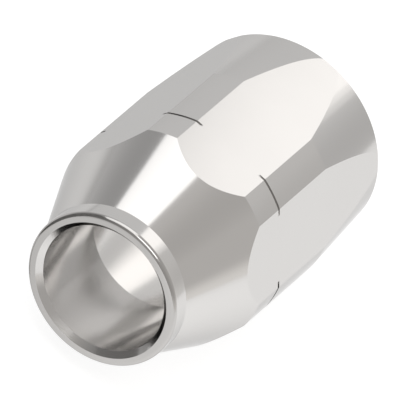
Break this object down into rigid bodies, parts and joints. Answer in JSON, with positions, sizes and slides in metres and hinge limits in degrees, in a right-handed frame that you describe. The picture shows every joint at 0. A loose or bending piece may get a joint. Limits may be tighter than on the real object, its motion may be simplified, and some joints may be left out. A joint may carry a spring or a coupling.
{
  "type": "reusable hose socket",
  "caption": "Turned steel hose socket with a collared round mouth, front cone, grooved body with milled flats, rear taper, tapered seat inside and a nipple thread.",
  "frame": {"origin": "on the socket's axis, half way between its two end faces; the socket lies on one of its milled flats", "axes": "+Y along the axis from the mouth that takes the hose to the nipple end, +Z square out of the top flat, +X to the right when the mouth faces the viewer"},
  "size_m": [0.0291, 0.0442, 0.027],
  "materials": {
    "bright_steel": "bright turned steel, fine tool marks round the axis"
  },
  "bodies": {
    "root": {"hose_socket": "bright_steel"}
  },
  "joints": []
}
